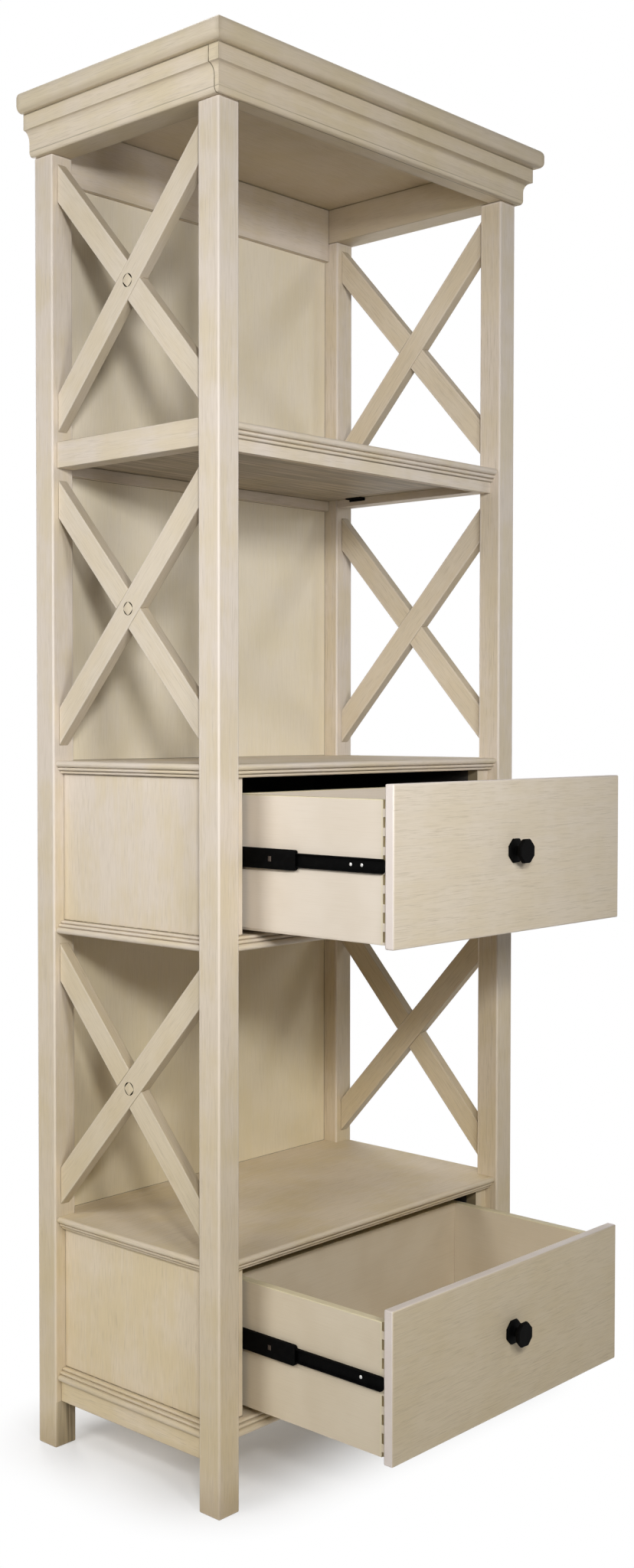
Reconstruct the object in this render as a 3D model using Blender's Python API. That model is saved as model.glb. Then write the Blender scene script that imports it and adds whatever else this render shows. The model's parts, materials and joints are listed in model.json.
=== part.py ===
"""A tall display cabinet with crossed side braces and two drawers on telescopic slides.

Metres, +Z up. The front faces -Y and the feet stand on Z = 0. Pieces are placed from the middle of
the four posts. The drawers are modelled closed and stand open by OPEN, each on its own empty.
"""

import math

import bmesh
import bpy

# Overall size, over the posts and up to the top of the cap board
WIDTH = 0.650
DEPTH = 0.366
HEIGHT = 1.920
POST = 0.0375
POST_EASE = 0.002
GAP = 0.0003
ARC_STEPS = 5

# Heights of the levels above the floor
SHELF_TOP = 1.428
UPPER_TOP = 0.9835
UPPER_BASE = 0.7385
LOWER_TOP = 0.3320
LOWER_BASE = 0.0955
APRON_BOTTOM = 0.0655
BRACE_CENTRES = (1.6345, 1.1925, 0.5370)

# Cap board and crown moulding; a projection is measured out from the posts' outer faces
CAP_THICK = 0.029
CAP_PROJECTION = 0.032
CAP_TOP_ROUND = 0.010
CAP_UNDER_ROUND = 0.009
CROWN_HEIGHT = 0.056
CROWN_BEAD_FOOT = 0.004
CROWN_BEAD_HEIGHT = 0.007
CROWN_LOWER_FLAT = 0.009
CROWN_LOWER_TOP = 0.020
CROWN_COVE_TOP = 0.0345
CROWN_UPPER_FLAT = 0.0195
CROWN_JOINT = 0.0015
CROWN_RAIL_DEPTH = 0.0225

# Boards with a reeded edge: nose, middle reed and lower reed, each from its root in to its crest
BOARD = 0.018
SHELF_BOARD = 0.0203
NOSE_ROOT, NOSE_CREST = 0.0080, 0.0035
REED_ROOT, REED_CREST = 0.0110, 0.0076
FOOT_ROOT, FOOT_CREST = 0.0145, 0.0118
FOOT_SHARE, REED_SHARE = 0.245, 0.520
SHELF_STRIP_SETBACK = 0.0167
SHELF_STRIP_THICK = 0.012
SHELF_STRIP_DROP = 0.0162

# Rails, panels and back, by their setback from the posts' outer faces or their distance behind the middle
SHELF_RAIL_SETBACK = 0.0075
SHELF_RAIL_HEIGHT = 0.037
SHELF_RAIL_RISE = 0.0053
SHELF_BACK_RAIL_FRONT = 0.163
TOP_RAIL_FRONT = 0.164
TOP_RAIL_HEIGHT = 0.086
BACK_FRONT = 0.172
BACK_THICK = 0.006
SIDE_SETBACK = 0.0185
APRON_SETBACK = 0.010
APRON_THICK = 0.018

# Braces
BRACE_WIDTH = 0.0355
BRACE_THICK = 0.016
BRACE_SETBACK = 0.010
BRACE_HALF_HEIGHT = 0.186

# Drawer bay: half its clear width, and where its front edge lies along Y
BAY_HALF = 0.2605
BAY_FRONT = -0.163

# Drawers
OPEN = 0.252
FACE_HALF = 0.2565
FACE_THICK = 0.014
FACE_EASE = 0.0018
BOX_HALF = 0.2520
BOX_DEPTH = 0.275
BOX_BOARD = 0.012
BOTTOM_THICK = 0.006
BOTTOM_RISE = 0.007
KNOB_RISE = 0.0075
KNOB_REACH = 0.0206
DRAWERS = {
    "upper": {"face": (0.7585, 0.9625), "box": (0.7630, 0.9430), "slide": 0.8605},
    "lower": {"face": (0.1175, 0.3125), "box": (0.1240, 0.2940), "slide": 0.2170},
}

# Slides: each member is a channel that nests in the next
SLIDE_LENGTH = 0.250
SLIDE_FRONT = -0.1465
RUNNER_LENGTH = 0.215
RUNNER_FRONT = -0.1285
CABINET_MEMBER = (0.0350, 0.0272)
RUNNER_MEMBER = (0.0266, 0.0190)
DRAWER_MEMBER = (0.0184, 0.0154)
WEB = 0.0010
CABINET_WEB = BAY_HALF - GAP
RUNNER_WEB = 0.2586
DRAWER_WEB = BOX_HALF + GAP
CABINET_LIP = 0.2535
RUNNER_LIP = 0.2529
DRAWER_LIP = 0.2570

# The knob from its rose out to its head: width across flats, and distance from the drawer's face
KNOB_STATIONS = (
    (0.032, 0.0), (0.032, 0.0022), (0.030, 0.0036), (0.013, 0.0042), (0.013, 0.0105),
    (0.030, 0.0145), (0.032, 0.0156), (0.032, 0.0188), (0.030, KNOB_REACH),
)

# Derived places
HALF_W = WIDTH / 2
HALF_D = DEPTH / 2
INNER_X = HALF_W - POST
INNER_Y = HALF_D - POST
POST_TOP = HEIGHT - CAP_THICK - CROWN_HEIGHT
BACK_EDGE = BACK_FRONT - GAP
FRONT_REACH = BAY_FRONT - OPEN - GAP - KNOB_REACH


def clear_scene():
    for obj in list(bpy.data.objects):
        bpy.data.objects.remove(obj, do_unlink=True)


def make_material(name, colour, roughness, metallic=0.0):
    material = bpy.data.materials.new(name)
    material.use_nodes = True
    shader = material.node_tree.nodes["Principled BSDF"]
    shader.inputs["Base Color"].default_value = (*colour, 1.0)
    shader.inputs["Roughness"].default_value = roughness
    shader.inputs["Metallic"].default_value = metallic
    material.diffuse_color = (*colour, 1.0)
    return material


def add_object(name, bm, material, location=(0, 0, 0), parent=None):
    bmesh.ops.recalc_face_normals(bm, faces=bm.faces)
    mesh = bpy.data.meshes.new(name)
    bm.to_mesh(mesh)
    bm.free()
    mesh.materials.append(material)
    obj = bpy.data.objects.new(name, mesh)
    obj.location = location
    obj.parent = parent
    bpy.context.scene.collection.objects.link(obj)
    return obj


def ease_edges(obj, width):
    bevel = obj.modifiers.new("eased edges", "BEVEL")
    bevel.width = width
    bevel.segments = 2


def add_empty(name, location):
    empty = bpy.data.objects.new(name, None)
    empty.location = location
    bpy.context.scene.collection.objects.link(empty)
    return empty


def span(low, high):
    """The middle and the length of an interval."""
    return (low + high) / 2, high - low


def add_box(name, x, y, z, material, parent=None):
    """A board that fills the three intervals x, y and z."""
    middles, lengths = zip(*(span(*interval) for interval in (x, y, z)))
    bm = bmesh.new()
    bmesh.ops.create_cube(bm, size=1.0)
    bmesh.ops.scale(bm, vec=lengths, verts=bm.verts)
    return add_object(name, bm, material, middles, parent)


def moved_verts(geometry):
    return [item for item in geometry if isinstance(item, bmesh.types.BMVert)]


def extrude_through(rings):
    """A closed solid: the first ring's face, extruded from each ring to the next."""
    bm = bmesh.new()
    corners = [bm.verts.new(point) for point in rings[0]]
    face = bm.faces.new(corners)
    for number, ring in enumerate(rings[1:]):
        grown = bmesh.ops.extrude_face_region(bm, geom=[face])["geom"]
        by_place = {tuple(vert.co): vert for vert in moved_verts(grown)}
        corners = [by_place[tuple(vert.co)] for vert in corners]
        for vert, point in zip(corners, ring):
            vert.co = point
        if number:
            bmesh.ops.delete(bm, geom=[face], context="FACES_ONLY")
        face = next(item for item in grown if isinstance(item, bmesh.types.BMFace))
    return bm


def arc_points(centre, radii, start, end):
    """Points along an elliptical arc, angles in degrees."""
    steps = [math.radians(start + (end - start) * i / ARC_STEPS) for i in range(ARC_STEPS + 1)]
    return [(centre[0] + radii[0] * math.cos(a), centre[1] + radii[1] * math.sin(a)) for a in steps]


def reed(root, crest, low, high):
    """Setback and height along one rounded reed of a board's edge."""
    middle, height = span(low, high)
    return arc_points((root, middle), (crest - root, height / 2), -90, 90)


def reeded_edge(thickness):
    """Setback and height up a board's edge, from the lower reed to the nose at the top."""
    foot_top = FOOT_SHARE * thickness
    reed_top = REED_SHARE * thickness
    points = reed(FOOT_ROOT, FOOT_CREST, 0, foot_top)
    points += reed(REED_ROOT, REED_CREST, foot_top, reed_top)
    points += reed(NOSE_ROOT, NOSE_CREST, reed_top, thickness)
    return points


def board_outline(setback, height):
    """A unit board's plan: notched round the four posts, moulded on the front and both sides."""
    xi, yi = INNER_X - GAP, INNER_Y - GAP
    xs, yf = HALF_W - setback, setback - HALF_D
    plan = [(-xi, yf), (xi, yf), (xi, -yi), (xs, -yi), (xs, yi), (xi, yi),
            (xi, BACK_EDGE), (-xi, BACK_EDGE), (-xi, yi), (-xs, yi), (-xs, -yi), (-xi, -yi)]
    return [(x, y, height) for x, y in plan]


def add_moulded_board(name, bottom, nose_up, material):
    edge = reeded_edge(BOARD)
    if not nose_up:
        edge = [(setback, BOARD - height) for setback, height in reversed(edge)]
    rings = [board_outline(setback, height) for setback, height in edge]
    return add_object(name, extrude_through(rings), material, (0, 0, bottom))


def crown_profile():
    """Projection and height up the crown: bead, lower flat, cove and upper flat."""
    bead_depth = CROWN_LOWER_FLAT - CROWN_BEAD_FOOT
    cove_depth = CROWN_UPPER_FLAT - CROWN_LOWER_FLAT
    cove_height = CROWN_COVE_TOP - CROWN_LOWER_TOP
    bead = arc_points((CROWN_BEAD_FOOT, CROWN_BEAD_HEIGHT), (bead_depth, CROWN_BEAD_HEIGHT), -90, 0)
    cove = arc_points((CROWN_UPPER_FLAT, CROWN_LOWER_TOP), (cove_depth, cove_height), 180, 90)
    return bead + cove + [(CROWN_UPPER_FLAT, CROWN_HEIGHT - GAP)]


def cap_profile():
    """Projection and height up the cap board's rounded edge."""
    under_root = CAP_PROJECTION - CAP_UNDER_ROUND
    top_root = CAP_PROJECTION - CAP_TOP_ROUND
    under = arc_points((under_root, CAP_UNDER_ROUND), (CAP_UNDER_ROUND, CAP_UNDER_ROUND), -90, 0)
    top = arc_points((top_root, CAP_THICK - CAP_TOP_ROUND), (CAP_TOP_ROUND, CAP_TOP_ROUND), 0, 90)
    return under + top


def cap_outline(projection, height):
    x, front = HALF_W + projection, -HALF_D - projection
    return [(-x, front, height), (x, front, height), (x, HALF_D, height), (-x, HALF_D, height)]


def crown_front_outline(projection, height):
    """The front moulding with its returned ends, and the rail behind it between the side pieces."""
    x, front = HALF_W + projection, -HALF_D - projection
    joint = -HALF_D - CROWN_JOINT - GAP
    rail, rail_back = INNER_X - 2 * GAP, -HALF_D + CROWN_RAIL_DEPTH
    plan = [(-x, front), (x, front), (x, joint), (rail, joint),
            (rail, rail_back), (-rail, rail_back), (-rail, joint), (-x, joint)]
    return [(px, py, height) for px, py in plan]


def crown_side_outline(side, projection, height):
    outer, inner = side * (HALF_W + projection), side * (INNER_X + GAP)
    front = -HALF_D - CROWN_JOINT
    return [(outer, front, height), (inner, front, height), (inner, HALF_D, height), (outer, HALF_D, height)]


def add_posts(material):
    for across, x in (("left", -1), ("right", 1)):
        for along, y in (("front", -1), ("back", 1)):
            corner_x, corner_y = x * HALF_W, y * HALF_D
            x_range = sorted((corner_x, corner_x - x * POST))
            y_range = sorted((corner_y, corner_y - y * POST))
            post = add_box(f"post_{along}_{across}", x_range, y_range, (0, POST_TOP - GAP), material)
            ease_edges(post, POST_EASE)


def add_crown(material):
    at = (0, 0, POST_TOP)
    profile = crown_profile()
    front = [crown_front_outline(projection, height) for projection, height in profile]
    add_object("crown_front", extrude_through(front), material, at)
    for name, side in (("left", -1), ("right", 1)):
        rings = [crown_side_outline(side, projection, height) for projection, height in profile]
        add_object(f"crown_{name}", extrude_through(rings), material, at)
    cap = [cap_outline(projection, height) for projection, height in cap_profile()]
    add_object("cap_board", extrude_through(cap), material, (0, 0, HEIGHT - CAP_THICK))


def add_back(material):
    x = (GAP - INNER_X, INNER_X - GAP)
    rail_top = HEIGHT - CAP_THICK - GAP
    rail_bottom = rail_top - TOP_RAIL_HEIGHT
    add_box("top_rail_back", x, (TOP_RAIL_FRONT, HALF_D - GAP), (rail_bottom, rail_top), material)
    panel = (BACK_FRONT, BACK_FRONT + BACK_THICK)
    add_box("back_panel", x, panel, (LOWER_BASE, rail_bottom - GAP), material)


def shelf_section():
    """The shelf's section in Y and Z: reeded front edge with a flat strip under it."""
    bottom = SHELF_TOP - SHELF_BOARD
    strip = SHELF_STRIP_SETBACK - HALF_D
    strip_bottom = bottom - SHELF_STRIP_DROP
    section = [(BACK_EDGE, SHELF_TOP), (BACK_EDGE, bottom), (strip + SHELF_STRIP_THICK, bottom)]
    section += [(strip + SHELF_STRIP_THICK, strip_bottom), (strip, strip_bottom), (strip, bottom)]
    return section + [(setback - HALF_D, bottom + height) for setback, height in reeded_edge(SHELF_BOARD)]


def add_shelf(material):
    x = INNER_X - GAP
    rings = [[(end, y, z) for y, z in shelf_section()] for end in (-x, x)]
    add_object("shelf", extrude_through(rings), material)
    y = (GAP - INNER_Y, INNER_Y - GAP)
    rail_top = SHELF_TOP + SHELF_RAIL_RISE
    for name, side in (("left", -1), ("right", 1)):
        ends = sorted((side * (HALF_W - SHELF_RAIL_SETBACK), side * (INNER_X + GAP)))
        add_box(f"shelf_rail_{name}", ends, y, (rail_top - SHELF_RAIL_HEIGHT, rail_top), material)
    top = SHELF_TOP - SHELF_BOARD - GAP
    z = (top - SHELF_STRIP_DROP, top)
    add_box("shelf_rail_back", (-x, x), (SHELF_BACK_RAIL_FRONT, BACK_EDGE), z, material)


def side_outline(side, height):
    """A side panel's plan: flat outside between the posts, and the drawer bay's wall inside them."""
    outer, step, wall = HALF_W - SIDE_SETBACK, INNER_X - GAP, BAY_HALF
    y = INNER_Y - GAP
    plan = [(outer, -y), (step, -y), (step, BAY_FRONT), (wall, BAY_FRONT),
            (wall, BACK_EDGE), (step, BACK_EDGE), (step, y), (outer, y)]
    return [(side * px, py, height) for px, py in plan]


def add_drawer_unit(name, base, top, material):
    add_moulded_board(f"{name}_unit_base", base, False, material)
    add_moulded_board(f"{name}_unit_top", top - BOARD, True, material)
    low, high = base + BOARD + GAP, top - BOARD - GAP
    for across, side in (("left", -1), ("right", 1)):
        rings = [side_outline(side, height) for height in (low, high)]
        add_object(f"{name}_side_{across}", extrude_through(rings), material)


def add_aprons(material):
    y = (GAP - INNER_Y, INNER_Y - GAP)
    for name, side in (("left", -1), ("right", 1)):
        outer = HALF_W - APRON_SETBACK
        x = sorted((side * outer, side * (outer - APRON_THICK)))
        add_box(f"apron_{name}", x, y, (APRON_BOTTOM, LOWER_BASE - GAP), material)


def brace_rows(slope):
    """The upper and lower edge of a rising bar: its ends, and where the notch for the other bar crosses."""
    end = INNER_Y - GAP
    half = BRACE_WIDTH / 2 * math.hypot(1, slope)
    notch = half + GAP

    def crossing(edge, notch_edge):
        y = (notch_edge * notch - edge * half) / (2 * slope)
        return y, slope * y + edge * half

    return [[(-end, edge * half - slope * end), crossing(edge, -1), crossing(edge, 1),
             (end, edge * half + slope * end)] for edge in (1, -1)]


def brace_bar(slope, direction, full_face, inward):
    """One bar of a crossed pair: halved where the other passes, and unbroken on its full face.

    direction is 1 for a bar that rises toward the back, and inward the way from its full face into it.
    """
    layer = (BRACE_THICK - GAP) / 2
    bm = bmesh.new()
    rows = brace_rows(slope)
    upper, lower = ([bm.verts.new((full_face, direction * y, z)) for y, z in row] for row in rows)
    faces = [bm.faces.new((upper[i], upper[i + 1], lower[i + 1], lower[i])) for i in range(3)]
    first = bmesh.ops.extrude_face_region(bm, geom=faces)["geom"]
    bmesh.ops.translate(bm, vec=(inward * layer, 0, 0), verts=moved_verts(first))
    inner = [item for item in first if isinstance(item, bmesh.types.BMFace)]
    inner.sort(key=lambda face: face.calc_center_median().y)
    ends = [inner[0], inner[-1]]
    second = bmesh.ops.extrude_face_region(bm, geom=ends)["geom"]
    bmesh.ops.translate(bm, vec=(inward * (BRACE_THICK - layer), 0, 0), verts=moved_verts(second))
    bmesh.ops.delete(bm, geom=ends, context="FACES_ONLY")
    return bm


def add_braces(material):
    """Both sides carry the same crossed pairs, turned half round, not mirrored.

    On the left the bar that falls toward the back is whole on the outside, and on the right the one that rises.
    """
    diagonal = BRACE_HALF_HEIGHT - BRACE_WIDTH / 2 * math.sqrt(2)
    slope = diagonal / (INNER_Y - GAP)
    for across, side in (("left", -1), ("right", 1)):
        outer = side * (HALF_W - BRACE_SETBACK)
        inner = outer - side * BRACE_THICK
        for bay, height in zip(("top", "middle", "low"), BRACE_CENTRES):
            at = (0, 0, height)
            add_object(f"brace_{bay}_{across}_outer", brace_bar(slope, side, outer, -side), material, at)
            add_object(f"brace_{bay}_{across}_inner", brace_bar(slope, -side, inner, side), material, at)


def octagon(across, depth):
    """An eight-sided ring with flat top and sides, standing off the drawer's face by depth."""
    radius = across / 2 / math.cos(math.pi / 8)
    angles = [math.pi / 8 + i * math.pi / 4 for i in range(8)]
    return [(radius * math.cos(a), -depth, radius * math.sin(a)) for a in angles]


def add_knob(name, face_front, height, material, parent):
    """Rose, neck and head, eight-sided throughout."""
    rings = [octagon(across, depth) for across, depth in KNOB_STATIONS]
    add_object(name, extrude_through(rings), material, (0, face_front - GAP, height), parent)


def add_drawer(name, sizes, paint, box_paint, black):
    empty = add_empty(f"{name}_drawer_runs", (0, -OPEN, 0))
    face_back = BAY_FRONT + FACE_THICK
    face = add_box(f"{name}_drawer_face", (-FACE_HALF, FACE_HALF), (BAY_FRONT, face_back),
                   sizes["face"], paint, empty)
    ease_edges(face, FACE_EASE)
    box_front, box_back = face_back + GAP, face_back + BOX_DEPTH
    low, high = sizes["box"]
    inner = BOX_HALF - BOX_BOARD
    for across, side in (("left", -1), ("right", 1)):
        x = sorted((side * BOX_HALF, side * inner))
        add_box(f"{name}_drawer_side_{across}", x, (box_front, box_back), (low, high), box_paint, empty)
    x = (GAP - inner, inner - GAP)
    back_front = box_back - BOX_BOARD
    add_box(f"{name}_drawer_back", x, (back_front, box_back), (low, high), box_paint, empty)
    bottom = low + BOTTOM_RISE
    add_box(f"{name}_drawer_bottom", x, (box_front, back_front - GAP), (bottom, bottom + BOTTOM_THICK),
            box_paint, empty)
    knob_height = sum(sizes["face"]) / 2 + KNOB_RISE
    add_knob(f"{name}_drawer_knob", BAY_FRONT, knob_height, black, empty)
    return empty


def channel_outline(side, member, web_face, lip, y):
    """A slide member's section: a web with a lip along the top and the bottom."""
    height, clear = member
    web_back = web_face + math.copysign(WEB, lip - web_face)
    half, inner = height / 2, clear / 2
    section = [(web_face, -half), (lip, -half), (lip, -inner), (web_back, -inner),
               (web_back, inner), (lip, inner), (lip, half), (web_face, half)]
    return [(side * x, y, z) for x, z in section]


def add_slide_member(name, side, member, web_face, lip, front, length, height, black, parent=None):
    rings = [channel_outline(side, member, web_face, lip, y) for y in (front, front + length)]
    add_object(name, extrude_through(rings), black, (0, 0, height), parent)


def add_slides(name, height, black, drawer):
    runners = add_empty(f"{name}_runners_run", (0, -OPEN / 2, 0))
    for across, side in (("left", -1), ("right", 1)):
        add_slide_member(f"{name}_slide_cabinet_{across}", side, CABINET_MEMBER, CABINET_WEB, CABINET_LIP,
                         SLIDE_FRONT, SLIDE_LENGTH, height, black)
        add_slide_member(f"{name}_slide_runner_{across}", side, RUNNER_MEMBER, RUNNER_WEB, RUNNER_LIP,
                         RUNNER_FRONT, RUNNER_LENGTH, height, black, runners)
        add_slide_member(f"{name}_slide_drawer_{across}", side, DRAWER_MEMBER, DRAWER_WEB, DRAWER_LIP,
                         SLIDE_FRONT, SLIDE_LENGTH, height, black, drawer)


def stand_on_middle():
    """Hang every piece on one empty, so that the box round the open cabinet is centred on the origin."""
    cabinet = add_empty("cabinet", (0, -(FRONT_REACH + HALF_D) / 2, 0))
    for obj in list(bpy.data.objects):
        if obj.parent is None and obj is not cabinet:
            obj.parent = cabinet


def main():
    clear_scene()
    paint = make_material("antique cream paint", (0.62, 0.54, 0.41), 0.55)
    box_paint = make_material("smooth cream drawer box", (0.66, 0.58, 0.45), 0.5)
    black = make_material("black metal", (0.012, 0.012, 0.012), 0.5, 0.6)
    add_posts(paint)
    add_crown(paint)
    add_back(paint)
    add_shelf(paint)
    add_drawer_unit("upper", UPPER_BASE, UPPER_TOP, paint)
    add_drawer_unit("lower", LOWER_BASE, LOWER_TOP, paint)
    add_aprons(paint)
    add_braces(paint)
    for name, sizes in DRAWERS.items():
        drawer = add_drawer(name, sizes, paint, box_paint, black)
        add_slides(name, sizes["slide"], black, drawer)
    stand_on_middle()


main()
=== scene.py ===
# %% [markdown]
# # A display cabinet in antique cream paint
# The cabinet has four square posts, a moulded crown, reeded boards, crossed braces on both sides and two
# drawers on black slides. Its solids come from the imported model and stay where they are. This lesson dresses
# them: it eases their edges, gives each board a brushed and glazed finish, and adds the small hardware.

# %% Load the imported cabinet
import json
import math
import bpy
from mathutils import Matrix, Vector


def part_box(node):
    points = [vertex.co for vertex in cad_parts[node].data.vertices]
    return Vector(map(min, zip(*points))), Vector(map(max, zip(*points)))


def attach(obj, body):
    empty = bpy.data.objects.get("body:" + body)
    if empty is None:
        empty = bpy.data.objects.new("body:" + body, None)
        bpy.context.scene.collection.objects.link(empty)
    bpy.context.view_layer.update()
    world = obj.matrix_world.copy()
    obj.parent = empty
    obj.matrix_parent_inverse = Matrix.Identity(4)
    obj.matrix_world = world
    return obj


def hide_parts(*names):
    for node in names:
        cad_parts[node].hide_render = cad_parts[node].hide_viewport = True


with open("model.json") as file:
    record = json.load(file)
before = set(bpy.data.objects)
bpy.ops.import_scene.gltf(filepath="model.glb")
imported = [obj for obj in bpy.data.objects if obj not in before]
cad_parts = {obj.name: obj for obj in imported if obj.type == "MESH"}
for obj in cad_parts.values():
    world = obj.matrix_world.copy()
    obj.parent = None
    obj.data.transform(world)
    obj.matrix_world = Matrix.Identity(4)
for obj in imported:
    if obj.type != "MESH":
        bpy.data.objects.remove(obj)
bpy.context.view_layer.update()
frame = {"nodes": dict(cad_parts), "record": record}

import zlib

import bmesh
import bpy
from mathutils import Matrix, Vector

record = frame["record"]
body_of = {node: body for body, members in record["behaviour"]["bodies"].items() for node in members}
MM = 0.001
SIDES = (("left", -1), ("right", 1))
LEVELS = ("upper", "lower")
ROWS = ("top", "middle", "low")
X, Y, Z = range(3)

# %% [markdown]
# ## The camera
# The photograph was taken from the front left, a little above the middle of the cabinet. The straight edges of
# the posts and boards give the place and the focal length of the lens. The picture was cropped after it was
# taken, so the lens is shifted a little to the side instead of being turned.

# %% Camera
front_post, back_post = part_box("post_front_left"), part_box("post_back_left")
middle = Vector((0, (front_post[0].y + back_post[1].y) / 2, 0))
SENSOR_WIDTH, FOCAL_LENGTH, SHIFT_X, SHIFT_Y = 36.0, 39.489, 0.0401, -0.0057
CAMERA_STANDS, CAMERA_TILT, CAMERA_TURN = (-1.89436, -1.73342, 1.03595), 88.2988, -46.5206
lens = bpy.data.cameras.new("camera")
lens.sensor_width = SENSOR_WIDTH
lens.lens = FOCAL_LENGTH
lens.shift_x = SHIFT_X
lens.shift_y = SHIFT_Y
camera = bpy.data.objects.new("camera", lens)
camera.location = middle + Vector(CAMERA_STANDS)
camera.rotation_euler = (math.radians(CAMERA_TILT), 0, math.radians(CAMERA_TURN))
bpy.context.scene.collection.objects.link(camera)
bpy.context.scene.camera = camera
print("camera at", [round(c, 3) for c in camera.location])

# %% [markdown]
# ## Sums in a material
# A finish is a chain of nodes. Written as Python sums the chain is easier to read, so one small class holds a
# socket and turns each operator into a Math node. Every other node comes from its node method.


# %% A socket that can be used in sums
class Shade:
    """One socket of a material. Operators on it add Math nodes."""

    def __init__(self, tree, socket):
        self.tree = tree
        self.socket = socket

    def node(self, kind, settings=None, sockets=None, output=0):
        """Add a node: its settings first, then the values or links of its sockets."""
        new = self.tree.nodes.new(kind)
        for key, value in (settings or {}).items():
            setattr(new, key, value)
        for key, value in (sockets or {}).items():
            if isinstance(value, Shade):
                self.tree.links.new(value.socket, new.inputs[key])
            else:
                new.inputs[key].default_value = value
        return Shade(self.tree, new.outputs[output])

    def math(self, operation, first, second=0.0):
        return self.node("ShaderNodeMath", {"operation": operation}, {0: first, 1: second})

    def __add__(self, other):
        return self.math("ADD", self, other)

    def __sub__(self, other):
        return self.math("SUBTRACT", self, other)

    def __rsub__(self, other):
        return self.math("SUBTRACT", other, self)

    def __mul__(self, other):
        return self.math("MULTIPLY", self, other)

    __radd__ = __add__
    __rmul__ = __mul__

    def size(self):
        return self.math("ABSOLUTE", self)

    def least(self, other):
        return self.math("MINIMUM", self, other)

    def most(self, other):
        return self.math("MAXIMUM", self, other)

    def vector(self, operation, other):
        return self.node("ShaderNodeVectorMath", {"operation": operation}, {0: self, 1: other})

    def part(self, axis):
        return self.node("ShaderNodeSeparateXYZ", None, {0: self}, axis)

    def rise(self, low, high, start=0.0, end=1.0):
        """Goes smoothly from start to end while the value goes from low to high."""
        return self.node("ShaderNodeMapRange", {"interpolation_type": "SMOOTHSTEP"},
                         {0: self, 1: low, 2: high, 3: start, 4: end})

    def noise(self, scale, detail=2.0, rough=0.5):
        """Cloudy noise at this place, with scale cells to the metre along X, Y and Z."""
        return self.node("ShaderNodeTexNoise", None, {"Vector": self.vector("MULTIPLY", scale), "Scale": 1.0,
                                                      "Detail": detail, "Roughness": rough})

    def mix(self, first, second, blend="MIX"):
        """The first colour where this value is 0, the second where it is 1."""
        return self.node("ShaderNodeMix", {"data_type": "RGBA", "blend_type": blend},
                         {0: self, 6: first, 7: second}, 2)

    def bump(self, depth):
        """A surface that stands depth higher where this value is 1."""
        return self.node("ShaderNodeBump", None, {"Strength": 1.0, "Distance": depth, "Height": self})


def new_material(name):
    """An empty finish: its material, its shader node and the place on the object as a Shade."""
    material = bpy.data.materials.new(name)
    material.use_nodes = True
    tree = material.node_tree
    place = Shade(tree, tree.nodes.new("ShaderNodeTexCoord").outputs["Object"])
    return material, tree.nodes["Principled BSDF"], place


def feed(shader, place, **sockets):
    """Link values that change over the surface to the shader's sockets."""
    for name, value in sockets.items():
        place.tree.links.new(value.socket, shader.inputs[name.replace("_", " ")])


def own_offset(name):
    """A shift of the pattern that is a piece's own, so that no two boards look alike."""
    number = zlib.crc32(name.encode())
    return (number % 97 * 0.31, number % 89 * 0.37, number % 83 * 0.41)


print("shade helper ready")

# %% [markdown]
# ## Antique cream paint
# The real finish is cream paint, brushed over open-grained wood, with a thin brown glaze wiped over it. The
# glaze stays in the grain as fine strokes along the board, gathers at edges and in the grooves of the reeds,
# and clouds the colour a little. A picture could hold this, but a pattern made from the place on the object
# fits every board at its real size. The distance to a board's edges comes from its box: on a face one of the
# three distances is zero, and the middle one of the three is the distance to the nearest edge.

# %% The cream paint
CREAM_YELLOW = (0.665, 0.572, 0.428, 1)
CREAM_PINK = (0.700, 0.618, 0.530, 1)
PALE_EDGE_AND_HIGHLIGHT = (0.735, 0.660, 0.600, 1)
STROKE_GLAZE = (0.400, 0.330, 0.225, 1)
GLAZE_AND_SHADE_LINE = (0.100, 0.076, 0.036, 1)
LOWER_TINT = (0.97, 0.93, 0.80, 1)
FOOT = (0.80, 0.74, 0.60, 1)
STROKE_WIDTH, STROKE_LENGTH = 0.9 * MM, 30 * MM
STREAK_WIDTH, STREAK_LENGTH = 7 * MM, 160 * MM
CLOUD_SIZE = 80 * MM
TINT_LOW, TINT_HIGH, FOOT_HIGH = 0.10, 1.15, 0.06
CREAM_TURNS, STROKE_SHOWS, STREAK_SHOWS, GROOVE_SHOWS = (0.36, 0.62), (0.44, 0.80), (0.25, 0.70), (0.30, 0.60)
RAGGED_BY_STREAKS, RAGGED_BY_STROKES, POOL_REACH = 10 * MM, 4 * MM, 10 * MM
PALE_EDGE_RAGGED, PALE_EDGE_FULL, PALE_EDGE_REACH = 1.5 * MM, 1.4 * MM, 4.6 * MM
JOINT_FULL, JOINT_REACH = 0.2 * MM, 0.9 * MM
SATIN, BRUSH_RELIEF = (0.48, 0.60), 0.12 * MM


def along(grain, length, width):
    """Noise cells to the metre, long in the grain's direction and narrow across it."""
    return tuple(1 / length if axis == grain else 1 / width for axis in range(3))


def edge_distance(place, low, high):
    """How far a point on a box's surface is from the nearest edge of the box."""
    from_high = place.node("ShaderNodeVectorMath", {"operation": "SUBTRACT"}, {0: high, 1: place})
    nearest = place.vector("SUBTRACT", low).vector("MINIMUM", from_high)
    x, y, z = (nearest.part(axis) for axis in range(3))
    return x.least(y).most(x.most(y).least(z))


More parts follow.
